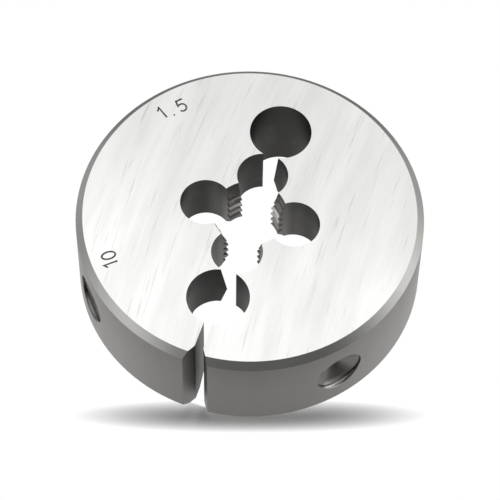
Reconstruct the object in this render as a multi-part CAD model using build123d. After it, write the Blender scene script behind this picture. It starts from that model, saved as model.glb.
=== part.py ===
"""Round threading die, split and adjustable, cut for a coarse metric thread.

One solid of hardened tool steel: a disc with a threaded bore in the middle,
four chip flutes that break the thread into cutting lands, two relief holes on
the slot line, and an adjusting slot that lets the ring spring open or shut.

Frame: Z is the bore axis, the back face lies on Z = 0, the marked lead face is
on top, and the adjusting slot opens towards -Y.
"""
from build123d import *
from math import atan, ceil, degrees, pi, radians, sin, sqrt, tan
import os

os.makedirs("parts", exist_ok=True)

# Disc
BODY_DIAMETER = 50.0
BODY_THICKNESS = 16.0
RIM_CHAMFER = 1.0

# Recess turned into the back face, which leaves the web that carries the thread
RECESS_DIAMETER = 28.0
RECESS_DEPTH = 6.8
RECESS_CORNER_RADIUS = 0.8
RECESS_MOUTH_CHAMFER = 0.5

# Thread: metric coarse, right-handed
THREAD_MAJOR_DIAMETER = 10.0
THREAD_PITCH = 1.5
THREAD_ANGLE = 60.0

# Tapered leads that start the cut, at each end of the thread
LEAD_MOUTH_DIAMETER = 10.66
LEAD_LENGTH_FRONT = 3.4
LEAD_LENGTH_BACK = 1.5

# Chip flutes, spaced evenly round the bore with one nearly on the slot line
FLUTE_COUNT = 4
FLUTE_DIAMETER = 7.4
FLUTE_CIRCLE_DIAMETER = 13.2
FLUTE_TURN_FROM_SLOT = 1.9

# Relief holes, one at each side of the bore on the slot line, each chamfered at
# the back and opened into the flute beside it by a narrow neck
RELIEF_DIAMETER = 9.0
RELIEF_BACK_CHAMFER = 2.0
NECK_WIDTH = 2.3

# Ridge that the cuts leave in each neck, slot side first, on the edge that the
# flute is turned away from: its reach across the neck and the height of its peak
NECK_RIDGES = ((0.95, 10.9), (0.60, 9.6))
NECK_RIDGE_ROOT_LENGTH = 1.1
NECK_RIDGE_ROOT_THICKNESS = 0.9

# Adjusting slot with a V mouth for the point of the adjusting screw
SLOT_DIRECTION = -90.0
SLOT_WIDTH = 1.25
SLOT_MOUTH_WIDTH = 3.75
SLOT_MOUTH_ANGLE = 60.0

# Drilled dimples in the rim for the clamping screws of the die stock
DIMPLE_DIAMETER = 7.2
DIMPLE_WALL = 0.4
DIMPLE_POINT_ANGLE = 118.0
DIMPLE_ANGLE_FROM_SLOT = 49.0

# How far a cutter runs past the surface that it breaks through
OVERCUT = 1.0
THREAD_OVERCUT = 0.2

body_radius = BODY_DIAMETER / 2
recess_radius = RECESS_DIAMETER / 2
web_thickness = BODY_THICKNESS - RECESS_DEPTH
flute_radius = FLUTE_DIAMETER / 2
flute_offset = FLUTE_CIRCLE_DIAMETER / 2
relief_radius = RELIEF_DIAMETER / 2
lead_mouth_radius = LEAD_MOUTH_DIAMETER / 2
first_flute = SLOT_DIRECTION + FLUTE_TURN_FROM_SLOT

# A relief hole and its flute overlap by a lens whose chord is the neck
neck_half = NECK_WIDTH / 2
neck_offset = flute_offset + sqrt(flute_radius**2 - neck_half**2)
relief_offset = neck_offset + sqrt(relief_radius**2 - neck_half**2)

# The flute's turn carries the middle of the neck part of the way with it
flute_shift = flute_offset * sin(radians(FLUTE_TURN_FROM_SLOT))
neck_shift = flute_shift * (relief_offset - neck_offset) / (relief_offset - flute_offset)

# Standard thread form: a root flat of an eighth of the pitch at the major
# diameter, and a crest flat of a quarter of it at the minor diameter
flank_slope = tan(radians(THREAD_ANGLE / 2))
root_flat = THREAD_PITCH / 8
crest_flat = THREAD_PITCH / 4
thread_depth = (THREAD_PITCH - crest_flat - root_flat) / 2 / flank_slope
thread_major_radius = THREAD_MAJOR_DIAMETER / 2
thread_minor_radius = thread_major_radius - thread_depth
thread_pitch_radius = thread_major_radius - thread_depth / 2
helix_angle = degrees(atan(THREAD_PITCH / (2 * pi * thread_pitch_radius)))


def turned(*outline):
    """Revolve an outline of (radius, height) points, starting at the slot so that
    no seam is left on the rim."""
    section = make_face(Polyline(*outline, close=True))
    return Rot(0, 0, SLOT_DIRECTION) * revolve(Plane.XZ * section, Axis.Z)


def disc():
    """The turned blank with bevelled rims, recessed in the back face."""
    blank = turned(
        (0, 0),
        (body_radius - RIM_CHAMFER, 0),
        (body_radius, RIM_CHAMFER),
        (body_radius, BODY_THICKNESS - RIM_CHAMFER),
        (body_radius - RIM_CHAMFER, BODY_THICKNESS),
        (0, BODY_THICKNESS),
    )
    mouth_radius = recess_radius + RECESS_MOUTH_CHAMFER
    recess = turned(
        (0, -OVERCUT),
        (mouth_radius + OVERCUT, -OVERCUT),
        (recess_radius, RECESS_MOUTH_CHAMFER),
        (recess_radius, RECESS_DEPTH),
        (0, RECESS_DEPTH),
    )
    floor_edge = recess.edges().sort_by(Axis.Z)[-1]
    return blank - fillet(floor_edge, RECESS_CORNER_RADIUS)


def bore():
    """The bore at the thread's crests, with a tapered lead at each end."""
    back_slope = (lead_mouth_radius - thread_minor_radius) / LEAD_LENGTH_BACK
    front_slope = (lead_mouth_radius - thread_minor_radius) / LEAD_LENGTH_FRONT
    return turned(
        (0, RECESS_DEPTH - OVERCUT),
        (lead_mouth_radius + back_slope * OVERCUT, RECESS_DEPTH - OVERCUT),
        (thread_minor_radius, RECESS_DEPTH + LEAD_LENGTH_BACK),
        (thread_minor_radius, BODY_THICKNESS - LEAD_LENGTH_FRONT),
        (lead_mouth_radius + front_slope * OVERCUT, BODY_THICKNESS + OVERCUT),
        (0, BODY_THICKNESS + OVERCUT),
    )


def drilled_through(diameter):
    """A drill along Z that passes right through the disc."""
    length = BODY_THICKNESS + 2 * OVERCUT
    align = (Align.CENTER, Align.CENTER, Align.MIN)
    return Pos(0, 0, -OVERCUT) * Cylinder(diameter / 2, length, align=align)


def chip_flutes():
    """Flutes that cut the thread into lands and carry the chips away."""
    places = PolarLocations(flute_offset, FLUTE_COUNT, start_angle=first_flute)
    return [place * drilled_through(FLUTE_DIAMETER) for place in places]


def thread_grooves():
    """Grooves across the lands, which leave the cutting teeth between them.

    A land is so short that a turn of the helix can't be told there from a flat
    ring tilted by the helix angle, so each turn of each land is one such ring.
    It runs from the middle of one flute to the middle of the next.
    """
    inner_radius = thread_minor_radius - THREAD_OVERCUT
    inner_half = root_flat / 2 + (thread_major_radius - inner_radius) * flank_slope
    section = make_face(Polyline(
        (inner_radius, -inner_half),
        (thread_major_radius, -root_flat / 2),
        (thread_major_radius, root_flat / 2),
        (inner_radius, inner_half),
        close=True,
    ))
    flute_spacing = 360 / FLUTE_COUNT
    arc = revolve(Plane.XZ * section, Axis.Z, flute_spacing)
    ring = Rot(helix_angle, 0, 0) * Rot(0, 0, -flute_spacing / 2) * arc
    grooves = []
    for land in range(FLUTE_COUNT):
        part_turn = (land + 0.5) / FLUTE_COUNT
        for turn in range(ceil(web_thickness / THREAD_PITCH)):
            height = RECESS_DEPTH + THREAD_PITCH * (turn + part_turn)
            place = Pos(0, 0, height) * Rot(0, 0, first_flute + 360 * part_turn)
            grooves.append(place * ring)
    return grooves


def relief_holes():
    """Larger holes on the slot line that let the ring flex."""
    depth = RELIEF_BACK_CHAMFER + OVERCUT
    align = (Align.CENTER, Align.CENTER, Align.MIN)
    chamfer = Cone(relief_radius + depth, relief_radius, depth, align=align)
    hole = drilled_through(RELIEF_DIAMETER) + Pos(0, 0, -OVERCUT) * chamfer
    places = PolarLocations(relief_offset, 2, start_angle=SLOT_DIRECTION)
    return [place * hole for place in places]


def neck_ridges():
    """Thin ridges in the necks. Each is a blade rooted in the wall between the
    two holes, and its edge runs out to the peak and back from face to face."""
    edge = neck_shift - neck_half
    root = edge - NECK_RIDGE_ROOT_LENGTH
    # Between the holes the wall leans towards the flute as it thickens
    root_middle = neck_offset - NECK_RIDGE_ROOT_LENGTH / 8
    half_root = NECK_RIDGE_ROOT_THICKNESS / 2
    ridges = []
    for side, (reach, peak) in enumerate(NECK_RIDGES):
        below = reach * OVERCUT / (peak - RECESS_DEPTH)
        above = reach * OVERCUT / (BODY_THICKNESS - peak)
        levels = (
            (RECESS_DEPTH - OVERCUT, edge - below),
            (peak, edge + reach),
            (BODY_THICKNESS + OVERCUT, edge - above),
        )
        blade = loft([
            Pos(0, 0, height) * make_face(Polyline(
                (neck_offset, tip),
                (root_middle - half_root, root),
                (root_middle + half_root, root),
                close=True,
            ))
            for height, tip in levels
        ], ruled=True)
        ridges.append(Rot(0, 0, SLOT_DIRECTION + 180 * side) * blade)
    return ridges


def adjusting_slot():
    """A narrow cut from the nearer relief hole to a V mouth in the rim."""
    half_slot = SLOT_WIDTH / 2
    half_mouth = SLOT_MOUTH_WIDTH / 2
    slope = tan(radians(SLOT_MOUTH_ANGLE / 2))
    mouth_start = body_radius - (half_mouth - half_slot) / slope
    outside = body_radius + OVERCUT
    half_outside = half_mouth + OVERCUT * slope
    outline = make_face(Polyline(
        (relief_offset, half_slot),
        (mouth_start, half_slot),
        (outside, half_outside),
        (outside, -half_outside),
        (mouth_start, -half_slot),
        (relief_offset, -half_slot),
        close=True,
    ))
    cut = extrude(outline, BODY_THICKNESS + 2 * OVERCUT, dir=(0, 0, 1))
    return Pos(0, 0, -OVERCUT) * Rot(0, 0, SLOT_DIRECTION) * cut


def rim_dimples():
    """Drill-pointed dimples at mid thickness, one at each side of the slot."""
    dimple_radius = DIMPLE_DIAMETER / 2
    point_length = dimple_radius / tan(radians(DIMPLE_POINT_ANGLE / 2))
    # The wall is measured where the curve of the rim falls furthest back
    shoulder = sqrt(body_radius**2 - dimple_radius**2) - DIMPLE_WALL
    section = make_face(Polyline(
        (shoulder - point_length, 0),
        (shoulder, dimple_radius),
        (body_radius + OVERCUT, dimple_radius),
        (body_radius + OVERCUT, 0),
        close=True,
    ))
    drill = Pos(0, 0, BODY_THICKNESS / 2) * revolve(section, Axis.X)
    angles = [SLOT_DIRECTION + side * DIMPLE_ANGLE_FROM_SLOT for side in (-1, 1)]
    return [Rot(0, 0, angle) * drill for angle in angles]


def die_body():
    """The finished die."""
    body = disc() - bore()
    ridges = neck_ridges()
    body -= [hole - ridges for hole in chip_flutes() + relief_holes()]
    body -= thread_grooves()
    body -= rim_dimples() + [adjusting_slot()]
    body.label = "die_body"
    return body


export_step(die_body(), "parts/die_body.step")
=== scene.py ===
"""Round threading die: the finishes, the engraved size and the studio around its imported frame."""

import math

import bmesh
import bpy
from bpy.props import FloatProperty, FloatVectorProperty, PointerProperty, StringProperty
from mathutils import Matrix, Vector


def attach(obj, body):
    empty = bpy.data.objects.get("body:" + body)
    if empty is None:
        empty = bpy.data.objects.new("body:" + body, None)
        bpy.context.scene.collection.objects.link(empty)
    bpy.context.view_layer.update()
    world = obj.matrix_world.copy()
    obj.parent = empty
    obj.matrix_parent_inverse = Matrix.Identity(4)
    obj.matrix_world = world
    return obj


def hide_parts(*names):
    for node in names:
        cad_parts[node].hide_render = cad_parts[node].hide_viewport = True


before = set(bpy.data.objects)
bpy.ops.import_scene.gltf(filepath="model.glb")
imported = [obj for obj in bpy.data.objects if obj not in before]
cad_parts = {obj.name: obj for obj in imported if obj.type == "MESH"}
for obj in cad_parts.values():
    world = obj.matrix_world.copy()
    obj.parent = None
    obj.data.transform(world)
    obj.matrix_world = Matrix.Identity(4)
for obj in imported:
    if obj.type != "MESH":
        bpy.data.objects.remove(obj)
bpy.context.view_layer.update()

bl_info = {
    "name": "Round Threading Die",
    "version": (1, 0, 0),
    "blender": (4, 5, 0),
    "location": "View3D > Sidebar > Die",
    "description": "Finishes a round threading die, engraves its size and sets up a plain studio",
    "category": "Object",
}

NODE = "die_body"
MM = 0.001

# Sizes of the solid, in mm, that sort its faces into finishes.
RIM_RADIUS = 25.0
BEVEL_RADIUS = 24.0
BEVEL_HEIGHT = 1.0
THICKNESS = 16.0
MIDDLE = Vector((0, 0, THICKNESS / 2))
RECESS_RADIUS = 14.0
RECESS_TOP = 6.8
THREAD_ROOT_RADIUS = 5.4
RELIEF_RADIUS = 4.5
RELIEF_OFFSET = 14.467
SLOT_HALF_MOUTH = 1.9
DIMPLE_RADIUS = 3.6
# Angles in degrees: where the screw seats are round the rim, and the point of the drill that made them.
DIMPLE_ANGLES = (-41.0, -139.0)
SEAT_POINT_ANGLE = 118.0
# Limits in mm, each a little wider than what lies within it: the screw seats and the slot's mouth, from
# the rim inwards, the thread's lead and the marks, from the marked face down, and the marks' ring.
RIM_DEPTH = 4.0
LEAD_DEPTH = 3.5
MARK_DEPTH = 0.5
MARK_RING = (18.0, 23.5)
# How near to a surface, in mm, counts as on it.
NEAR = 0.01

# The floor's shadow oval, in mm: its middle, its half length and half width, and its turn in degrees.
SHADOW_CENTRE = (7.74, -23.08, 0.0)
SHADOW_HALVES = (25.4, 2.72)
SHADOW_TURN = 1.0
# The way to the front of the studio, where the tent is open.
FRONT = (0.297, -0.955, 0.0)

# The tent that metal sees, side by side: a direction, the cosines to it at which the light starts and
# stops changing, its level at each of them, and how it changes in between.
TENT = (
    # The roof is bright, and the walls grey down to the floor line.
    ((0.18, -0.12, 0.976), -0.20, 0.31, 0.34, 0.89, "SMOOTHSTEP"),
    # The opening in front is dark.
    ((0.456, -0.822, 0.342), 0.12, 0.92, 1.0, 0.12, "SMOOTHSTEP"),
    # The left wall is greyer.
    ((-1.0, 0.0, 0.0), 0.5, 1.0, 1.0, 0.68, "LINEAR"),
)

# Lamps: name, azimuth and elevation in degrees, distance, width and depth in m, share of the key's power.
LAMPS = (
    ("key_lamp", 107, 32, 0.55, 0.36, 0.16, 1.0),
    ("top_lamp", 107, 55, 0.60, 0.30, 0.16, 0.5),
)

# The overhead panel: its size and place in m, and the strength of its glow.
SOFTBOX_SIZE = (0.31, 0.13)
SOFTBOX_PLACE = (-0.095, -0.020, 0.10)
SOFTBOX_STRENGTH = 1.14

# The camera: its sensor's width in mm, its lens shift, and its nearest and furthest distance in m.
SENSOR_WIDTH = 36.0
LENS_SHIFT = (-0.001, 0.001)
CLIP = (0.01, 10.0)

WHITE = (1, 1, 1, 1)
# Times a place, this takes its height out.
NO_HEIGHT = (1.0, 1.0, 0.0)
# Sockets of a Mix node that mixes colours: several share a name, so they go by number.
MIX_FROM, MIX_TO, MIXED = 6, 7, 2


def linear(hex_colour):
    """An sRGB hex colour as linear RGBA."""
    values = [int(hex_colour[i : i + 2], 16) / 255 for i in (1, 3, 5)]
    return [v / 12.92 if v <= 0.04045 else ((v + 0.055) / 1.055) ** 2.4 for v in values] + [1.0]


def toward(azimuth, elevation=0.0):
    """The unit vector that points this way, in degrees from +X towards +Y, and up."""
    a, e = math.radians(azimuth), math.radians(elevation)
    return Vector((math.cos(a) * math.cos(e), math.sin(a) * math.cos(e), math.sin(e)))


def node(tree, kind, inputs=None, **settings):
    """Adds a node with its settings, and sets or links each input, by name or number. Returns the node.

    A Map Range's inputs 0 to 4 are its value, where it starts and ends, and the results there.
    """
    new = tree.nodes.new(kind)
    for name, value in settings.items():
        setattr(new, name, value)
    for key, value in (inputs or {}).items():
        if isinstance(value, bpy.types.NodeSocket):
            tree.links.new(value, new.inputs[key])
        else:
            new.inputs[key].default_value = value
    return new


def new_material(name):
    """An empty node material, and its tree."""
    material = bpy.data.materials.new(name)
    material.use_nodes = True
    material.node_tree.nodes.clear()
    return material, material.node_tree


def finish_steel(tree, colour, roughness, height, depth):
    """Steel with that colour and roughness, and a relief of depth mm. Returns its shader."""
    bump = node(tree, "ShaderNodeBump", {"Height": height, "Distance": depth * MM, "Strength": 1.0})
    shader = node(
        tree,
        "ShaderNodeBsdfPrincipled",
        {"Base Color": colour, "Metallic": 1.0, "Roughness": roughness, "Normal": bump.outputs[0]},
    )
    node(tree, "ShaderNodeOutputMaterial", {"Surface": shader.outputs[0]})
    return shader


def place_in_mm(tree):
    """The point on the part, in mm."""
    place = node(tree, "ShaderNodeTexCoord").outputs["Object"]
    return node(tree, "ShaderNodeVectorMath", {0: place, "Scale": 1 / MM}, operation="SCALE").outputs[0]


def from_axis(tree, place):
    """A point's distance from the bore's axis."""
    flat = node(tree, "ShaderNodeVectorMath", {0: place, 1: NO_HEIGHT}, operation="MULTIPLY").outputs[0]
    return node(tree, "ShaderNodeVectorMath", {0: flat}, operation="LENGTH").outputs["Value"]


def ray_kinds(tree):
    """Whether a ray comes from the camera, straight or through glass, and whether it comes off metal."""
    path = node(tree, "ShaderNodeLightPath").outputs
    straight, through = path["Is Camera Ray"], path["Is Transmission Ray"]
    seen = node(tree, "ShaderNodeMath", {0: straight, 1: through}, operation="MAXIMUM").outputs[0]
    return seen, path["Is Glossy Ray"]


# ---------------------------------------------------------------- settings


class DieFinishSettings(bpy.types.PropertyGroup):
    """Colours of the die's finishes."""

    ground: StringProperty(name="Ground face", description="Colour of the ground faces", default="#F8F8F7")
    ground_dark: StringProperty(
        name="Grinding scratch", description="Colour of the deeper grinding scratches", default="#D2D2D0"
    )
    bevel: StringProperty(name="Bevel", description="Colour of the turned bevels", default="#E8E7E4")
    bevel_dark: StringProperty(
        name="Bevel rings", description="Colour of the bevels' darker rings", default="#E2E1DE"
    )
    rim: StringProperty(name="Rim", description="Colour of the turned rim", default="#918F8D")
    rim_dark: StringProperty(
        name="Rim lines", description="Colour of the rim's darker lines", default="#8A8886"
    )
    # Dark: partly the hardening scale, partly painted shade of the holes' insides.
    scale_and_painted_shade: StringProperty(
        name="Hole wall",
        description="Colour of the drilled walls: hardening scale, with painted shade",
        default="#353432",
    )
    scale_light: StringProperty(
        name="Lighter hole wall", description="Colour of the lighter parts of the walls", default="#575654"
    )
    scale_lightest: StringProperty(
        name="Lightest hole wall", description="Colour of the walls beside the cutting lands", default="#82807D"
    )
    thread_crest: StringProperty(
        name="Thread flank", description="Colour of the cut thread near its crests", default="#C0BFBD"
    )
    # The root colour is also the painted shade on the teeth deeper in the bore.
    thread_root: StringProperty(
        name="Thread root", description="Colour of the cut thread at its roots", default="#4A4947"
    )
    slot: StringProperty(name="Slot wall", description="Colour of the sawn slot", default="#565553")
    slot_dark: StringProperty(
        name="Slot lines", description="Colour of the wheel lines in the slot", default="#464543"
    )
    dimple: StringProperty(
        name="Screw seat", description="Colour of the drilled screw seats", default="#8D8B89"
    )
    dimple_dark: StringProperty(
        name="Screw seat grain", description="Colour of the seats' darker grain", default="#7B7977"
    )
    # A painted highlight: the glint on the right seat's lower edge.
    dimple_painted_highlight: StringProperty(
        name="Painted seat highlight", description="Colour of the highlight painted on a seat's lower edge", default="#F2F1EF"
    )
    recess: StringProperty(name="Recess", description="Colour of the bored recess", default="#8B8A87")
    recess_dark: StringProperty(
        name="Recess rings", description="Colour of the recess's darker rings", default="#5C5B58"
    )
    mark: StringProperty(name="Engraving", description="Colour in the engraved strokes", default="#4A4A48")
    mark_light: StringProperty(
        name="Clean engraving", description="Colour of the strokes where grime is thin", default="#8C8C88"
    )
    grinding_radius: FloatProperty(
        name="Grinding arc",
        description="Radius of the arcs that the grinding wheel leaves",
        default=0.24,
        unit="LENGTH",
    )
    scratch_pitch: FloatProperty(
        name="Scratch pitch",
        description="Distance between the drawn grinding scratches",
        default=0.00045,
        unit="LENGTH",
    )


class DieShapeSettings(bpy.types.PropertyGroup):
    """Small shapes that the frame leaves out."""

    edge_break: FloatProperty(
        name="Edge break",
        description="Width of the broken corners at the slot's mouth",
        default=0.00012,
        unit="LENGTH",
    )
    seat_round: FloatProperty(
        name="Screw seat rounding",
        description="Radius of the rounding at the screw seats' mouths",
        default=0.00050,
        unit="LENGTH",
    )
    digit_height: FloatProperty(
        name="Digit height", description="Height of the engraved digits", default=0.0020, unit="LENGTH"
    )
    stroke_width: FloatProperty(
        name="Stroke width", description="Width of the engraved strokes", default=0.00030, unit="LENGTH"
    )
    stroke_depth: FloatProperty(
        name="Stroke depth", description="Depth of the engraved strokes", default=0.00012, unit="LENGTH"
    )


class DieStudioSettings(bpy.types.PropertyGroup):
    """The floor, the lamps, the surroundings and the camera."""

    floor_radius: FloatProperty(
        name="Floor radius", description="Radius of the round floor", default=0.9, unit="LENGTH"
    )
    floor: StringProperty(name="Floor", description="Colour of the floor", default="#F4F4F4")
    key_power: FloatProperty(
        name="Key lamp", description="Power of the lamp behind the die", default=1.3, unit="POWER"
    )
    ambient: FloatProperty(name="Ambient", description="Level of the light from all round", default=0.14)
    lens: FloatProperty(name="Lens", description="Focal length on a 36 mm sensor, in mm", default=201.887)
    azimuth: FloatProperty(
        name="Azimuth",
        description="Where the camera stands round the die, from the front towards the right",
        default=math.radians(17.3),
        subtype="ANGLE",
    )
    elevation: FloatProperty(
        name="Elevation",
        description="How high the camera stands",
        default=math.radians(59.967),
        subtype="ANGLE",
    )
    roll: FloatProperty(
        name="Roll",
        description="Turn of the camera about its own axis",
        default=math.radians(0.8795),
        subtype="ANGLE",
    )
    distance: FloatProperty(
        name="Distance", description="From the camera to its target", default=0.41555, unit="LENGTH"
    )
    target: FloatVectorProperty(
        name="Target",
        description="The point in the middle of the view",
        default=(-0.000552, 0.002323, 0.00119),
        size=3,
        unit="LENGTH",
    )


# ---------------------------------------------------------------- materials


def ground_steel_face(finish):
    """Hardened tool steel, surface ground: bright, with long fine scratches in shallow arcs."""
    material, tree = new_material("ground_tool_steel")
    place = place_in_mm(tree)
    # The cup wheel's centre is far out on the +X side, so a scratch is an arc about it.
    centre = (finish.grinding_radius / MM, 3.0, 0.0)
    flat = node(tree, "ShaderNodeVectorMath", {0: place, 1: NO_HEIGHT}, operation="MULTIPLY").outputs[0]
    across = node(tree, "ShaderNodeVectorMath", {0: flat, 1: centre}, operation="DISTANCE").outputs["Value"]
    along = node(tree, "ShaderNodeSeparateXYZ", {0: place}).outputs["Y"]
    # Real grit scratches are 0.02 to 0.05 mm wide. They are drawn about ten times as wide, so that they show.
    fine_pitch = finish.scratch_pitch / MM
    # Each layer's pitch across the scratches and length along them, in mm, and its detail.
    plan = ((fine_pitch, 16.0, 3.0), (fine_pitch * 9, 20.0, 2.0), (fine_pitch * 0.8, 9.0, 1.0))
    layers = []
    for pitch, length, detail in plan:
        u = node(tree, "ShaderNodeMath", {0: across, 1: 1 / pitch}, operation="MULTIPLY").outputs[0]
        v = node(tree, "ShaderNodeMath", {0: along, 1: 1 / length}, operation="MULTIPLY").outputs[0]
        # The third coordinate only sets the layers apart.
        spot = node(tree, "ShaderNodeCombineXYZ", {0: u, 1: v, 2: pitch * 7}).outputs[0]
        settings = {"Vector": spot, "Scale": 1.0, "Detail": detail, "Roughness": 0.6}
        layers.append(node(tree, "ShaderNodeTexNoise", settings).outputs[0])
    fine, broad, single = layers
    shade = node(tree, "ShaderNodeMapRange", {0: fine, 1: 0.3, 2: 0.7, 3: -0.5, 4: 0.5}).outputs[0]
    patch = node(tree, "ShaderNodeMapRange", {0: broad, 1: 0.3, 2: 0.7, 3: -0.5, 4: 0.5}).outputs[0]
    span = {0: single, 1: 0.63, 2: 0.76, 3: 0.0, 4: 1.0}
    scratch = node(tree, "ShaderNodeMapRange", span, interpolation_type="SMOOTHSTEP").outputs[0]
    # The fine grinding is faint: broad patches and single deep scratches carry the look.
    mixed = 0.20
    for layer, share, last in ((shade, 0.10, False), (patch, 0.42, False), (scratch, 0.50, True)):
        terms = {0: layer, 1: share, 2: mixed}
        mixed = node(tree, "ShaderNodeMath", terms, operation="MULTIPLY_ADD", use_clamp=last).outputs[0]
    ends = {0: mixed, MIX_FROM: linear(finish.ground), MIX_TO: linear(finish.ground_dark)}
    colour = node(tree, "ShaderNodeMix", ends, data_type="RGBA").outputs[MIXED]
    rough = node(tree, "ShaderNodeMapRange", {0: mixed, 1: 0.0, 2: 0.8, 3: 0.24, 4: 0.34}).outputs[0]
    finish_steel(tree, colour, rough, fine, 0.004)
    return material


def turned_steel_bevel(finish):
    """Hardened tool steel, turned: fine rings, a clean semi-bright line round the faces."""
    material, tree = new_material("turned_tool_steel_bevel")
    place = place_in_mm(tree)
    height = node(tree, "ShaderNodeSeparateXYZ", {0: place}).outputs["Z"]
    # Turning feed of about 0.12 mm, drawn at 0.14 mm, because the bevel is only 1 mm high.
    settings = {"W": height, "Scale": 7.0, "Detail": 2.0}
    rings = node(tree, "ShaderNodeTexNoise", settings, noise_dimensions="1D").outputs[0]
    smear = node(tree, "ShaderNodeTexNoise", {"Vector": place, "Scale": 0.35, "Detail": 2.0}).outputs[0]
    mixed = node(tree, "ShaderNodeMath", {0: rings, 1: smear}, operation="MULTIPLY").outputs[0]
    shade = node(tree, "ShaderNodeMapRange", {0: mixed, 1: 0.15, 2: 0.4, 3: 0.0, 4: 1.0}).outputs[0]
    ends = {0: shade, MIX_FROM: linear(finish.bevel_dark), MIX_TO: linear(finish.bevel)}
    colour = node(tree, "ShaderNodeMix", ends, data_type="RGBA").outputs[MIXED]
    finish_steel(tree, colour, 0.24, rings, 0.003)
    return material


def turned_steel_rim(finish):
    """Hardened tool steel, turned and dulled by handling: satin, with faint turning lines and fine grain."""
    material, tree = new_material("turned_satin_tool_steel_rim")
    place = place_in_mm(tree)
    height = node(tree, "ShaderNodeSeparateXYZ", {0: place}).outputs["Z"]
    # Turning feed of about 0.12 mm, drawn at 0.3 mm.
    settings = {"W": height, "Scale": 3.3, "Detail": 3.0}
    lines = node(tree, "ShaderNodeTexNoise", settings, noise_dimensions="1D").outputs[0]
    settings = {"Vector": place, "Scale": 3.0, "Detail": 3.0, "Roughness": 0.6}
    grain = node(tree, "ShaderNodeTexNoise", settings).outputs[0]
    # Upright bands, about 2 mm wide and longer than the rim is high.
    stretch = {0: place, 1: (0.55, 0.55, 0.03)}
    tall = node(tree, "ShaderNodeVectorMath", stretch, operation="MULTIPLY").outputs[0]
    bands = node(tree, "ShaderNodeTexNoise", {"Vector": tall, "Scale": 1.0, "Detail": 2.0}).outputs[0]
    total = 0.0
    for layer, share in ((lines, 0.25), (grain, 0.35), (bands, 0.4)):
        terms = {0: layer, 1: share, 2: total}
        total = node(tree, "ShaderNodeMath", terms, operation="MULTIPLY_ADD").outputs[0]
    shade = node(tree, "ShaderNodeMapRange", {0: total, 1: 0.35, 2: 0.65, 3: 0.0, 4: 1.0}).outputs[0]
    ends = {0: shade, MIX_FROM: linear(finish.rim_dark), MIX_TO: linear(finish.rim)}
    colour = node(tree, "ShaderNodeMix", ends, data_type="RGBA").outputs[MIXED]
    rough = node(tree, "ShaderNodeMapRange", {0: grain, 1: 0.3, 2: 0.7, 3: 0.38, 4: 0.46}).outputs[0]
    finish_steel(tree, colour, rough, grain, 0.004)
    return material


def drilled_steel_wall(finish):
    """Tool steel, drilled, with the dark scale of hardening left on, darkened further as painted shade of the
    holes' insides: dull, with faint drill rings, and lighter near the cutting lands.
    """
    material, tree = new_material("drilled_tool_steel_scale")
    place = place_in_mm(tree)
    blotch = node(tree, "ShaderNodeTexNoise", {"Vector": place, "Scale": 0.30, "Detail": 2.0}).outputs[0]
    height = node(tree, "ShaderNodeSeparateXYZ", {0: place}).outputs["Z"]
    # Drill feed of about 0.15 mm, drawn at 0.4 mm.
    settings = {"W": height, "Scale": 2.6, "Detail": 2.0}
    rings = node(tree, "ShaderNodeTexNoise", settings, noise_dimensions="1D").outputs[0]
    radius = from_axis(tree, place)
    # Lighter near the cutting lands, and lightest right beside them.
    span = {0: radius, 1: 6.8, 2: 9.0, 3: 1.0, 4: 0.0}
    near_lands = node(tree, "ShaderNodeMapRange", span, interpolation_type="SMOOTHSTEP").outputs[0]
    span = {0: radius, 1: 5.2, 2: 6.6, 3: 0.7, 4: 0.0}
    lighter_share = node(tree, "ShaderNodeMapRange", span, interpolation_type="SMOOTHSTEP").outputs[0]
    shade = node(tree, "ShaderNodeMapRange", {0: blotch, 1: 0.3, 2: 0.7, 3: -0.2, 4: 0.2}).outputs[0]
    shade = node(tree, "ShaderNodeMath", {0: shade, 1: near_lands}, operation="ADD", use_clamp=True).outputs[0]
    ends = {0: shade, MIX_FROM: linear(finish.scale_and_painted_shade), MIX_TO: linear(finish.scale_light)}
    colour = node(tree, "ShaderNodeMix", ends, data_type="RGBA").outputs[MIXED]
    ends = {0: lighter_share, MIX_FROM: colour, MIX_TO: linear(finish.scale_lightest)}
    colour = node(tree, "ShaderNodeMix", ends, data_type="RGBA").outputs[MIXED]
    finish_steel(tree, colour, 0.48, rings, 0.004)
    return material


def cut_thread_steel(finish):
    """Tool steel, cut by a tap: bright flanks, which darken down towards the roots, and painted shade that
    darkens the teeth deeper in the bore.
    """
    material, tree = new_material("cut_thread_tool_steel")
    place = place_in_mm(tree)
    # The crests are 4.19 mm from the axis.
    span = {0: from_axis(tree, place), 1: 4.25, 2: 4.65, 3: 1.0, 4: 0.0}
    crest = node(tree, "ShaderNodeMapRange", span, interpolation_type="SMOOTHSTEP").outputs[0]
    # Painted light and shade: the teeth are lightest at the marked face and darker further down the bore,
    # where less light reaches.
    height = node(tree, "ShaderNodeSeparateXYZ", {0: place}).outputs["Z"]
    span = {0: height, 1: 8.0, 2: 13.5, 3: 0.2, 4: 1.0}
    lighter_share = node(tree, "ShaderNodeMapRange", span, interpolation_type="SMOOTHSTEP").outputs[0]
    bright = node(tree, "ShaderNodeMath", {0: crest, 1: lighter_share}, operation="MULTIPLY").outputs[0]
    grain = node(tree, "ShaderNodeTexNoise", {"Vector": place, "Scale": 4.0, "Detail": 2.0}).outputs[0]
    ends = {0: bright, MIX_FROM: linear(finish.thread_root), MIX_TO: linear(finish.thread_crest)}
    colour = node(tree, "ShaderNodeMix", ends, data_type="RGBA").outputs[MIXED]
    finish_steel(tree, colour, 0.30, grain, 0.003)
    return material


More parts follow.
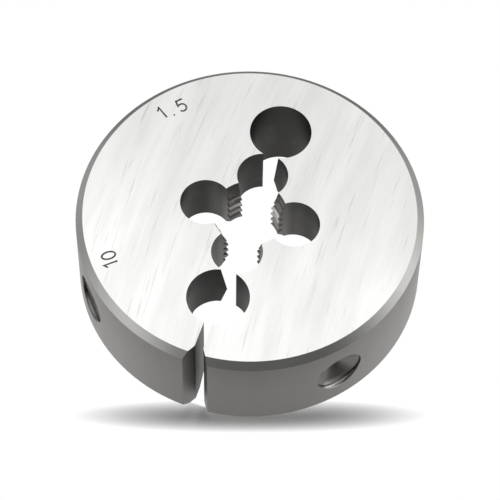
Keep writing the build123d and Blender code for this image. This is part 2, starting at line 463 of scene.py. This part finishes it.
def sawn_slot_steel(finish):
    """Tool steel, cut by a thin wheel: semi-dull, with wheel lines down the walls."""
    material, tree = new_material("sawn_tool_steel_slot")
    place = place_in_mm(tree)
    # Wheel grit of about 0.1 mm leaves lines, which are drawn 0.3 mm apart.
    stretch = {0: place, 1: (0.3, 3.0, 0.15)}
    lie = node(tree, "ShaderNodeVectorMath", stretch, operation="MULTIPLY").outputs[0]
    lines = node(tree, "ShaderNodeTexNoise", {"Vector": lie, "Scale": 1.0, "Detail": 3.0}).outputs[0]
    ends = {0: lines, MIX_FROM: linear(finish.slot_dark), MIX_TO: linear(finish.slot)}
    colour = node(tree, "ShaderNodeMix", ends, data_type="RGBA").outputs[MIXED]
    shader = finish_steel(tree, colour, 0.32, lines, 0.004)
    # The dark film on the walls keeps them from brightening at grazing angles.
    shader.inputs["Specular Tint"].default_value = (0.75, 0.75, 0.74, 1.0)
    return material


def drilled_steel_seat(finish):
    """Tool steel, drilled to a point: a smooth satin cone, with a highlight painted on the right seat's lower
    edge.
    """
    material, tree = new_material("drilled_tool_steel_seat")
    place = place_in_mm(tree)
    spot = node(tree, "ShaderNodeSeparateXYZ", {0: place}).outputs
    # A painted highlight, on the right seat's lower edge only: low down, close to the rim, and near the
    # seat's middle.
    middle = node(tree, "ShaderNodeMath", {0: spot["X"], 1: 16.4}, operation="SUBTRACT").outputs[0]
    aside = node(tree, "ShaderNodeMath", {0: middle}, operation="ABSOLUTE").outputs[0]
    lighter_share = 1.0
    for measure, start, end, first, last in (
        (spot["Z"], 5.6, 4.7, 0.0, 1.0),
        (from_axis(tree, place), 23.9, 24.4, 0.0, 1.0),
        (aside, 1.4, 3.4, 1.0, 0.0),
    ):
        span = {0: measure, 1: start, 2: end, 3: first, 4: last}
        share = node(tree, "ShaderNodeMapRange", span, interpolation_type="SMOOTHSTEP").outputs[0]
        lighter_share = node(tree, "ShaderNodeMath", {0: lighter_share, 1: share}, operation="MULTIPLY").outputs[0]
    grain = node(tree, "ShaderNodeTexNoise", {"Vector": place, "Scale": 2.5, "Detail": 2.0}).outputs[0]
    ends = {0: grain, MIX_FROM: linear(finish.dimple_dark), MIX_TO: linear(finish.dimple)}
    colour = node(tree, "ShaderNodeMix", ends, data_type="RGBA").outputs[MIXED]
    # The painted highlight turns the seat's colour nearly white there.
    ends = {0: lighter_share, MIX_FROM: colour, MIX_TO: linear(finish.dimple_painted_highlight)}
    colour = node(tree, "ShaderNodeMix", ends, data_type="RGBA").outputs[MIXED]
    finish_steel(tree, colour, 0.36, grain, 0.003)
    return material


def bored_steel_recess(finish):
    """Tool steel, bored out at the back: grey and dull, with turning rings."""
    material, tree = new_material("bored_tool_steel_recess")
    place = place_in_mm(tree)
    height = node(tree, "ShaderNodeSeparateXYZ", {0: place}).outputs["Z"]
    # The sum of radius and height runs on over the wall and the floor.
    terms = {0: from_axis(tree, place), 1: height}
    sweep = node(tree, "ShaderNodeMath", terms, operation="ADD").outputs[0]
    # Boring feed of about 0.15 mm, drawn at 0.35 mm.
    settings = {"W": sweep, "Scale": 2.8, "Detail": 2.0}
    rings = node(tree, "ShaderNodeTexNoise", settings, noise_dimensions="1D").outputs[0]
    blotch = node(tree, "ShaderNodeTexNoise", {"Vector": place, "Scale": 0.2, "Detail": 2.0}).outputs[0]
    mixed = node(tree, "ShaderNodeMath", {0: rings, 1: blotch}, operation="MULTIPLY").outputs[0]
    shade = node(tree, "ShaderNodeMapRange", {0: mixed, 1: 0.12, 2: 0.4, 3: 0.0, 4: 1.0}).outputs[0]
    ends = {0: shade, MIX_FROM: linear(finish.recess_dark), MIX_TO: linear(finish.recess)}
    colour = node(tree, "ShaderNodeMix", ends, data_type="RGBA").outputs[MIXED]
    finish_steel(tree, colour, 0.36, rings, 0.006)
    return material


def engraved_steel(finish):
    """Tool steel, engraved by a fine cutter after grinding: the strokes hold dark grime."""
    material, tree = new_material("engraved_tool_steel_mark")
    place = place_in_mm(tree)
    grain = node(tree, "ShaderNodeTexNoise", {"Vector": place, "Scale": 3.0, "Detail": 2.0}).outputs[0]
    shade = node(tree, "ShaderNodeMapRange", {0: grain, 1: 0.35, 2: 0.7, 3: 0.0, 4: 1.0}).outputs[0]
    ends = {0: shade, MIX_FROM: linear(finish.mark), MIX_TO: linear(finish.mark_light)}
    colour = node(tree, "ShaderNodeMix", ends, data_type="RGBA").outputs[MIXED]
    finish_steel(tree, colour, 0.42, grain, 0.003)
    return material


FINISHES = (
    ground_steel_face,
    turned_steel_bevel,
    turned_steel_rim,
    drilled_steel_wall,
    cut_thread_steel,
    sawn_slot_steel,
    drilled_steel_seat,
    bored_steel_recess,
    engraved_steel,
)
GROUND, BEVEL, RIM, WALL, THREAD, SLOT, SEAT, RECESS, MARK = range(len(FINISHES))


# ---------------------------------------------------------------- shapes


def seat_place(point, angle):
    """How far out a point in mm is along the axis of the screw seat at this angle, and how far off it."""
    axis = toward(angle)
    off = point - MIDDLE
    reach = off.dot(axis)
    return reach, off - axis * reach


def finish_of(face):
    """Which finish a face of the die has, from its place and normal."""
    centre, normal = face.calc_center_median() / MM, face.normal
    x, y, z = centre
    radius = math.hypot(x, y)
    # How much the face looks up or down.
    level = abs(normal.z)
    if level > 0.99 and (z > THICKNESS - NEAR or z < NEAR):
        return GROUND
    if z > THICKNESS - MARK_DEPTH and MARK_RING[0] < radius < MARK_RING[1] and level > 0.02:
        return MARK
    # How much it looks away from the bore's axis.
    outward = normal.x * x / radius + normal.y * y / radius
    if radius > RIM_RADIUS - 0.15 and outward > 0.98:
        return RIM
    near_edge = abs(z - THICKNESS / 2) > THICKNESS / 2 - BEVEL_HEIGHT and radius > BEVEL_RADIUS
    if near_edge and 0.5 < outward < 0.9 and 0.5 < level < 0.9:
        return BEVEL
    for angle in DIMPLE_ANGLES:
        reach, off = seat_place(centre, angle)
        if reach > RIM_RADIUS - RIM_DEPTH and off.length < DIMPLE_RADIUS + 0.6:
            return SEAT
    if y < -(RELIEF_OFFSET + RELIEF_RADIUS) + 0.4 and abs(x) < SLOT_HALF_MOUTH + 0.2:
        # The mouth's slanted faces are as satin as the rim, and the slot's own walls are sawn.
        return RIM if abs(normal.y) > 0.3 else SLOT
    in_recess = z < RECESS_TOP + NEAR and radius < RECESS_RADIUS + 1.0
    if in_recess and (level > 0.05 or radius > RECESS_RADIUS - NEAR):
        return RECESS
    if radius < THREAD_ROOT_RADIUS and level > 0.5:
        return THREAD
    # The cones that lead into the thread at the marked face are as clean as the bevels.
    in_lead = radius < THREAD_ROOT_RADIUS and z > THICKNESS - LEAD_DEPTH
    if in_lead and normal.z > 0.2 and outward < -0.8:
        return BEVEL
    return WALL


def tube_faces(count, sides, closed=False):
    """Faces of a tube through so many rings of points, joined to itself or capped at both ends."""
    faces = []
    for ring in range(count if closed else count - 1):
        a, b = ring * sides, (ring + 1) % count * sides
        faces += [(a + k, a + (k + 1) % sides, b + (k + 1) % sides, b + k) for k in range(sides)]
    if not closed:
        faces += [tuple(reversed(range(sides))), tuple(range((count - 1) * sides, count * sides))]
    return faces


def stroke_cutter(points, closed, radius, place):
    """Vertices and faces of a round cutter's path along points (x, y), put in place by place(x, y, up)."""
    sides = 8
    count = len(points)
    verts = []
    for i, point in enumerate(points):
        here = Vector(point)
        back = Vector(points[i - 1]) if i or closed else None
        ahead = Vector(points[(i + 1) % count]) if i < count - 1 or closed else None
        enters = (here - back).normalized() if back is not None else (ahead - here).normalized()
        leaves = (ahead - here).normalized() if ahead is not None else enters
        along = (enters + leaves).normalized()
        # The ring is mitred at a corner, but not past twice its width.
        side = Vector((-along.y, along.x)) / max(0.5, along.dot(enters))
        if not closed and i in (0, count - 1):
            # An open stroke runs on by half its radius at each end.
            here = here + along * radius * (0.5 if i else -0.5)
        for k in range(sides):
            turn = 2 * math.pi * (k + 0.5) / sides
            spot = here + side * radius * math.cos(turn)
            verts.append(place(spot.x, spot.y, radius * math.sin(turn)))
    return verts, tube_faces(count, sides, closed)


def arc(cx, cy, rx, ry, start, stop, steps):
    """Points on an ellipse's arc, with its angles in degrees."""
    turns = [math.radians(start + (stop - start) * i / steps) for i in range(steps + 1)]
    return [(cx + rx * math.cos(t), cy + ry * math.sin(t)) for t in turns]


# Strokes of the digits, on a height of 1: (points, closed).
GLYPHS = {
    "0": [(arc(0.0, 0.5, 0.29, 0.5, 0, 360, 20)[:-1], True)],
    "1": [([(-0.2, 0.8), (0.02, 1.0), (0.02, 0.0)], False)],
    "5": [([(0.27, 1.0), (-0.2, 1.0), (-0.25, 0.55)] + arc(-0.02, 0.32, 0.3, 0.32, 118, -140, 12), False)],
    ".": [([(-0.02, 0.04), (0.02, 0.04)], False)],
}
# Each digit, with where its middle is on the face: radius in mm and angle in degrees.
ENGRAVED = (
    ("1", 21.46, -138.9),
    ("0", 21.28, -142.5),
    ("1", 21.33, 144.9),
    (".", 20.9, 141.6),
    ("5", 20.87, 136.8),
)


def mouth_cutter(angle, radius):
    """Vertices and faces of a turned cutter that rounds the mouth of the screw seat at this angle."""
    sides = 72
    turns = [math.radians(turn) for turn in (0, 15, 30, 45, 60, 75)]
    # The arc starts just inside the seat's wall. Each point is its reach along the seat's axis and its width.
    inner = DIMPLE_RADIUS - 0.03
    profile = [(RIM_RADIUS - radius * (1 - math.sin(t)), inner + radius * (1 - math.cos(t))) for t in turns]
    # Past the arc the cutter runs straight on, out of the rim.
    reach, width = profile[-1]
    run = RIM_RADIUS + 0.3 - reach
    profile.append((reach + run, width + run * math.tan(turns[-1])))
    axis = toward(angle)
    side = Vector((-axis.y, axis.x, 0))
    verts = []
    for reach, width in profile:
        for k in range(sides):
            t = 2 * math.pi * k / sides
            up = Vector((0, 0, THICKNESS / 2 + width * math.sin(t)))
            verts.append((axis * reach + side * width * math.cos(t) + up) * MM)
    return verts, tube_faces(len(profile), sides)


def detail_cutter(shape):
    """One mesh with the paths of all the strokes and the cutters for the screw seats' mouths."""
    radius = 0.5 * shape.stroke_width / MM
    sink = shape.stroke_depth / MM
    height = shape.digit_height / MM
    cutters = []
    for digit, reach, angle in ENGRAVED:
        outward = toward(angle)
        onward = Vector((outward.y, -outward.x, 0))
        middle = outward * reach + Vector((0, 0, THICKNESS + radius - sink))

        def place(x, y, up):
            return (middle + onward * x + outward * (y - height / 2) + Vector((0, 0, up))) * MM

        for points, closed in GLYPHS[digit]:
            path = [(x * height, y * height) for x, y in points]
            cutters.append(stroke_cutter(path, closed, radius, place))
    cutters += [mouth_cutter(angle, shape.seat_round / MM) for angle in DIMPLE_ANGLES]
    verts, faces = [], []
    for new_verts, new_faces in cutters:
        faces += [tuple(i + len(verts) for i in face) for face in new_faces]
        verts += new_verts
    mesh = bpy.data.meshes.new("detail_cutter")
    mesh.from_pydata(verts, [], faces)
    return mesh


# ---------------------------------------------------------------- operators


def link(thing, name):
    """A new object for a mesh, lamp or camera, linked to the scene."""
    made = bpy.data.objects.new(name, thing)
    bpy.context.scene.collection.objects.link(made)
    return made


def applied(piece):
    """A new mesh of the piece with its modifiers applied. They are then taken off the piece."""
    bpy.context.view_layer.update()
    mesh = bpy.data.meshes.new_from_object(piece.evaluated_get(bpy.context.evaluated_depsgraph_get()))
    piece.modifiers.clear()
    return mesh


def flat_mesh(name, shape, **settings):
    """A flat mesh, made by one bmesh call with its settings."""
    mesh = bpy.data.meshes.new(name)
    sheet = bmesh.new()
    shape(sheet, **settings)
    sheet.to_mesh(mesh)
    sheet.free()
    return mesh


class DIE_OT_body(bpy.types.Operator):
    """Copies the frame's die, engraves its size, softens its small edges and gives each face its finish"""

    bl_idname = "die.body"
    bl_label = "Die Body"

    def execute(self, context):
        finish, shape = context.scene.die_finish, context.scene.die_shape
        die = link(self.frame_copy(), "round_die")
        cutter = link(detail_cutter(shape), "detail_cutter")
        cut = die.modifiers.new("details", "BOOLEAN")
        cut.operation, cut.solver, cut.object, cut.use_self = "DIFFERENCE", "EXACT", cutter, True
        die.data = self.finished_mesh(applied(die), shape)
        bpy.data.objects.remove(cutter)
        for make in FINISHES:
            die.data.materials.append(make(finish))
        # Large flat faces keep one normal right up to the rounded and broken edges beside them.
        level = die.modifiers.new("flat_faces", "WEIGHTED_NORMAL")
        level.keep_sharp, level.weight = True, 100
        die.data = applied(die)
        self.smooth_cones(die.data)
        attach(die, "root")
        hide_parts(NODE)
        return {"FINISHED"}

    def frame_copy(self):
        """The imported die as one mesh, with the points that its faces share joined."""
        mesh = bpy.data.meshes.new("round_die")
        body = bmesh.new()
        body.from_mesh(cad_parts[NODE].data)
        bmesh.ops.remove_doubles(body, verts=body.verts, dist=0.002 * MM)
        body.to_mesh(mesh)
        body.free()
        return mesh

    def finished_mesh(self, engraved, shape):
        """The engraved die with its corners broken, its faces sorted into finishes and its edges marked."""
        body = bmesh.new()
        body.from_mesh(engraved)
        bmesh.ops.remove_doubles(body, verts=body.verts, dist=0.001 * MM)
        bmesh.ops.dissolve_limit(body, angle_limit=math.radians(0.4), verts=body.verts, edges=body.edges)
        if any(not edge.is_manifold for edge in body.edges):
            raise RuntimeError("the engraved die isn't a closed mesh")
        self.break_corners(body, shape)
        for face in body.faces:
            face.material_index = finish_of(face)
            face.smooth = True
        for edge in body.edges:
            finishes = {face.material_index for face in edge.link_faces}
            edge.smooth = edge.calc_face_angle(0.0) < math.radians(28) and finishes != {RIM, SEAT}
        mesh = bpy.data.meshes.new("round_die")
        body.to_mesh(mesh)
        body.free()
        return mesh

    def break_corners(self, body, shape):
        """Small flats on the corners of the slot's mouth."""
        corners = []
        for edge in body.edges:
            finishes = sorted({finish_of(face) for face in edge.link_faces})
            if finishes in ([RIM, SLOT], [RIM]) and self.at_mouth(edge):
                corners.append(edge)
        bmesh.ops.bevel(
            body,
            geom=corners,
            offset=shape.edge_break,
            offset_type="OFFSET",
            segments=2,
            profile=0.5,
            affect="EDGES",
            clamp_overlap=True,
            material=-1,
        )

    def at_mouth(self, edge):
        """Whether an edge is one of the upright corners of the slot's V mouth."""
        first, last = (vert.co / MM for vert in edge.verts)
        upright = abs(first.z - last.z) > 1.0 and abs(first.x - last.x) < NEAR
        return upright and first.y < -RIM_RADIUS + RIM_DEPTH and edge.calc_face_angle(0.0) > math.radians(20)

    def smooth_cones(self, mesh):
        """Gives the screw seats the normals of true cones, which their long thin faces can't carry."""
        normals = [Vector(corner.vector) for corner in mesh.corner_normals]
        lean = math.radians(90 - SEAT_POINT_ANGLE / 2)
        seats = [face for face in mesh.polygons if face.material_index == SEAT]
        for angle in DIMPLE_ANGLES:
            axis = toward(angle)
            for face in seats:
                on_cone = abs(face.normal.angle(axis) - lean) <= math.radians(12)
                if not on_cone or math.hypot(face.center.x, face.center.y) / MM > RIM_RADIUS - 0.2:
                    continue
                for corner in face.loop_indices:
                    point = mesh.vertices[mesh.loops[corner].vertex_index].co
                    off = seat_place(point / MM, angle)[1]
                    if off.length < 0.2:
                        # At the cone's tip the face's own middle says which way it lies.
                        off = seat_place(face.center / MM, angle)[1]
                    normals[corner] = axis * math.cos(lean) - off.normalized() * math.sin(lean)
        mesh.normals_split_custom_set(normals)


class DIE_OT_studio(bpy.types.Operator):
    """Sets up the floor, the lamps and the pale surroundings"""

    bl_idname = "die.studio"
    bl_label = "Studio"

    def execute(self, context):
        studio = context.scene.die_studio
        self.floor(studio)
        self.lamps(studio)
        self.softbox()
        self.surroundings(context, studio)
        context.scene.view_settings.view_transform = "Standard"
        return {"FINISHED"}

    def floor(self, studio):
        """White paper, which the camera, metal and everything else each see in their own way."""
        circle = {"cap_ends": True, "segments": 96, "radius": studio.floor_radius}
        floor = link(flat_mesh("studio_floor", bmesh.ops.create_circle, **circle), "studio_floor")
        # A hair below the die, so that the two don't share a plane.
        floor.location.z = -0.02 * MM
        material, tree = new_material("white_paper_floor")
        seen, off_metal = ray_kinds(tree)
        place = place_in_mm(tree)
        away = node(tree, "ShaderNodeVectorMath", {0: place}, operation="LENGTH").outputs["Value"]
        oval = self.shadow_oval(tree, place, studio)
        paper = node(tree, "ShaderNodeBsdfDiffuse", {"Color": linear(studio.floor)}).outputs[0]
        shown = self.shown_paper(tree, paper, away, oval)
        mirrored = self.mirrored_paper(tree, place, away, oval)
        shader = node(tree, "ShaderNodeMixShader", {0: seen, 1: paper, 2: shown}).outputs[0]
        shader = node(tree, "ShaderNodeMixShader", {0: off_metal, 1: shader, 2: mirrored}).outputs[0]
        node(tree, "ShaderNodeOutputMaterial", {"Surface": shader})
        floor.data.materials.append(material)

    def shadow_oval(self, tree, place, studio):
        """The point on the floor, as a vector that is 1 long on the edge of the shadow oval."""
        turn = {"Vector": place, "Center": SHADOW_CENTRE, "Axis": (0, 0, 1)}
        turn["Angle"] = -studio.azimuth - math.radians(SHADOW_TURN)
        turned = node(tree, "ShaderNodeVectorRotate", turn).outputs[0]
        terms = {0: turned, 1: SHADOW_CENTRE}
        off = node(tree, "ShaderNodeVectorMath", terms, operation="SUBTRACT").outputs[0]
        scale = [1 / half for half in SHADOW_HALVES] + [0.0]
        return node(tree, "ShaderNodeVectorMath", {0: off, 1: scale}, operation="MULTIPLY").outputs[0]

    def shown_paper(self, tree, paper, away, oval):
        """Pure white paper, which takes the die's shadow only in a long low oval in front of it."""
        white = node(tree, "ShaderNodeEmission", {"Color": WHITE, "Strength": 1.0}).outputs[0]
        reach = node(tree, "ShaderNodeVectorMath", {0: oval}, operation="LENGTH").outputs["Value"]
        clear = node(tree, "ShaderNodeMath", {0: reach, 1: 2.0}, operation="POWER", use_clamp=True).outputs[0]
        # Plain white paper shows through the die's holes.
        span = {0: away, 1: 23.6, 2: 24.2, 3: 1.0, 4: 0.0}
        under = node(tree, "ShaderNodeMapRange", span, interpolation_type="SMOOTHSTEP").outputs[0]
        share = node(tree, "ShaderNodeMath", {0: clear, 1: under}, operation="MAXIMUM").outputs[0]
        return node(tree, "ShaderNodeMixShader", {0: share, 1: paper, 2: white}).outputs[0]

    def mirrored_paper(self, tree, place, away, oval):
        """The same paper as metal sees it."""
        from_band = node(tree, "ShaderNodeMath", {0: away, 1: 54.0}, operation="SUBTRACT").outputs[0]
        from_band = node(tree, "ShaderNodeMath", {0: from_band}, operation="ABSOLUTE").outputs[0]
        terms = {0: place, 1: FRONT}
        frontal = node(tree, "ShaderNodeVectorMath", terms, operation="DOT_PRODUCT").outputs["Value"]
        terms = {0: oval, 1: (0.85, 0.22, 0.0)}
        wide = node(tree, "ShaderNodeVectorMath", terms, operation="MULTIPLY").outputs[0]
        wide = node(tree, "ShaderNodeVectorMath", {0: wide}, operation="LENGTH").outputs["Value"]
        level = 1.0
        for measure, start, end, first, last in (
            # It falls off in the distance.
            (away, 28.0, 66.0, 0.95, 0.40),
            # A darker band of it, 54 mm out, is what the bevels reflect at the back.
            (from_band, 8.0, 20.0, 0.28, 1.0),
            # It ends at the tent's opening in front.
            (frontal, 28.0, 50.0, 1.0, 0.12),
            # It is dimmer in a wide soft oval round the shadow.
            (wide, 0.0, 1.1, 0.6, 1.0),
        ):
            span = {0: measure, 1: start, 2: end, 3: first, 4: last}
            share = node(tree, "ShaderNodeMapRange", span, interpolation_type="SMOOTHSTEP").outputs[0]
            level = node(tree, "ShaderNodeMath", {0: level, 1: share}, operation="MULTIPLY").outputs[0]
        return node(tree, "ShaderNodeEmission", {"Color": WHITE, "Strength": level}).outputs[0]

    def lamps(self, studio):
        """Two soft lamps behind the die, which metal doesn't reflect."""
        for name, azimuth, elevation, distance, width, depth, share in LAMPS:
            lamp = bpy.data.lights.new(name, "AREA")
            lamp.shape, lamp.size, lamp.size_y = "RECTANGLE", width, depth
            lamp.energy = studio.key_power * share
            made = link(lamp, name)
            back = toward(azimuth, elevation)
            made.location = back * distance
            made.rotation_euler = back.to_track_quat("Z", "Y").to_euler()
            made.visible_glossy = False

    def softbox(self):
        """A white panel overhead, which only metal sees: it brightens the front of the faces."""
        square = {"x_segments": 1, "y_segments": 1, "size": 0.5}
        panel = flat_mesh("overhead_softbox", bmesh.ops.create_grid, **square)
        softbox = link(panel, "overhead_softbox")
        softbox.scale = (*SOFTBOX_SIZE, 1.0)
        softbox.location = SOFTBOX_PLACE
        softbox.visible_camera = softbox.visible_diffuse = softbox.visible_shadow = False
        material, tree = new_material("softbox_cloth")
        glow = node(tree, "ShaderNodeEmission", {"Color": WHITE, "Strength": SOFTBOX_STRENGTH}).outputs[0]
        node(tree, "ShaderNodeOutputMaterial", {"Surface": glow})
        panel.materials.append(material)

    def surroundings(self, context, studio):
        """A white backdrop, an even dim light on everything, and the tent that metal sees."""
        world = bpy.data.worlds.new("pale_studio")
        world.use_nodes = True
        tree = world.node_tree
        tree.nodes.clear()
        seen, off_metal = ray_kinds(tree)
        direction = node(tree, "ShaderNodeTexCoord").outputs["Generated"]
        tent = 1.0
        for way, start, end, first, last, curve in TENT:
            terms = {0: direction, 1: way}
            facing = node(tree, "ShaderNodeVectorMath", terms, operation="DOT_PRODUCT").outputs["Value"]
            span = {0: facing, 1: start, 2: end, 3: first, 4: last}
            share = node(tree, "ShaderNodeMapRange", span, interpolation_type=curve).outputs[0]
            tent = node(tree, "ShaderNodeMath", {0: tent, 1: share}, operation="MULTIPLY").outputs[0]
        ambient, walls, white = (
            node(tree, "ShaderNodeBackground", {"Color": WHITE, "Strength": strength}).outputs[0]
            for strength in (studio.ambient, tent, 1.0)
        )
        metal = node(tree, "ShaderNodeMixShader", {0: off_metal, 1: ambient, 2: walls}).outputs[0]
        shader = node(tree, "ShaderNodeMixShader", {0: seen, 1: metal, 2: white}).outputs[0]
        node(tree, "ShaderNodeOutputWorld", {"Surface": shader})
        context.scene.world = world


class DIE_OT_camera(bpy.types.Operator):
    """Places the camera"""

    bl_idname = "die.camera"
    bl_label = "Camera"

    def execute(self, context):
        studio = context.scene.die_studio
        camera = bpy.data.cameras.new("camera")
        camera.lens, camera.sensor_width = studio.lens, SENSOR_WIDTH
        camera.shift_x, camera.shift_y = LENS_SHIFT
        camera.clip_start, camera.clip_end = CLIP
        made = link(camera, "camera")
        a, e, roll = studio.azimuth, studio.elevation, studio.roll
        back = Vector((math.sin(a) * math.cos(e), -math.cos(a) * math.cos(e), math.sin(e)))
        right = Vector((math.cos(a), math.sin(a), 0))
        up = back.cross(right)
        turned_right = right * math.cos(roll) + up * math.sin(roll)
        turned_up = up * math.cos(roll) - right * math.sin(roll)
        turn = Matrix((turned_right, turned_up, back)).transposed().to_4x4()
        made.matrix_world = Matrix.Translation(Vector(studio.target) + back * studio.distance) @ turn
        context.scene.camera = made
        return {"FINISHED"}


class DIE_PT_panel(bpy.types.Panel):
    """Lists the die's steps and settings in the sidebar"""

    bl_label = "Threading Die"
    bl_idname = "DIE_PT_panel"
    bl_space_type = "VIEW_3D"
    bl_region_type = "UI"
    bl_category = "Die"

    def draw(self, context):
        for step in STEPS:
            self.layout.operator(step.bl_idname)
        for name, group in SETTINGS.items():
            box = self.layout.box()
            for key in group.__annotations__:
                box.prop(getattr(context.scene, name), key)


SETTINGS = {"die_finish": DieFinishSettings, "die_shape": DieShapeSettings, "die_studio": DieStudioSettings}
STEPS = (DIE_OT_body, DIE_OT_studio, DIE_OT_camera)


def register():
    for group in SETTINGS.values():
        bpy.utils.register_class(group)
    for name, group in SETTINGS.items():
        setattr(bpy.types.Scene, name, PointerProperty(type=group))
    for step in STEPS + (DIE_PT_panel,):
        bpy.utils.register_class(step)


def unregister():
    for step in (DIE_PT_panel,) + STEPS[::-1]:
        bpy.utils.unregister_class(step)
    for name, group in SETTINGS.items():
        delattr(bpy.types.Scene, name)
        bpy.utils.unregister_class(group)


def main():
    """Registers the add-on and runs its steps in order."""
    register()
    bpy.ops.die.body()
    bpy.ops.die.studio()
    bpy.ops.die.camera()
    bpy.context.view_layer.update()


if __name__ == "__main__":
    main()
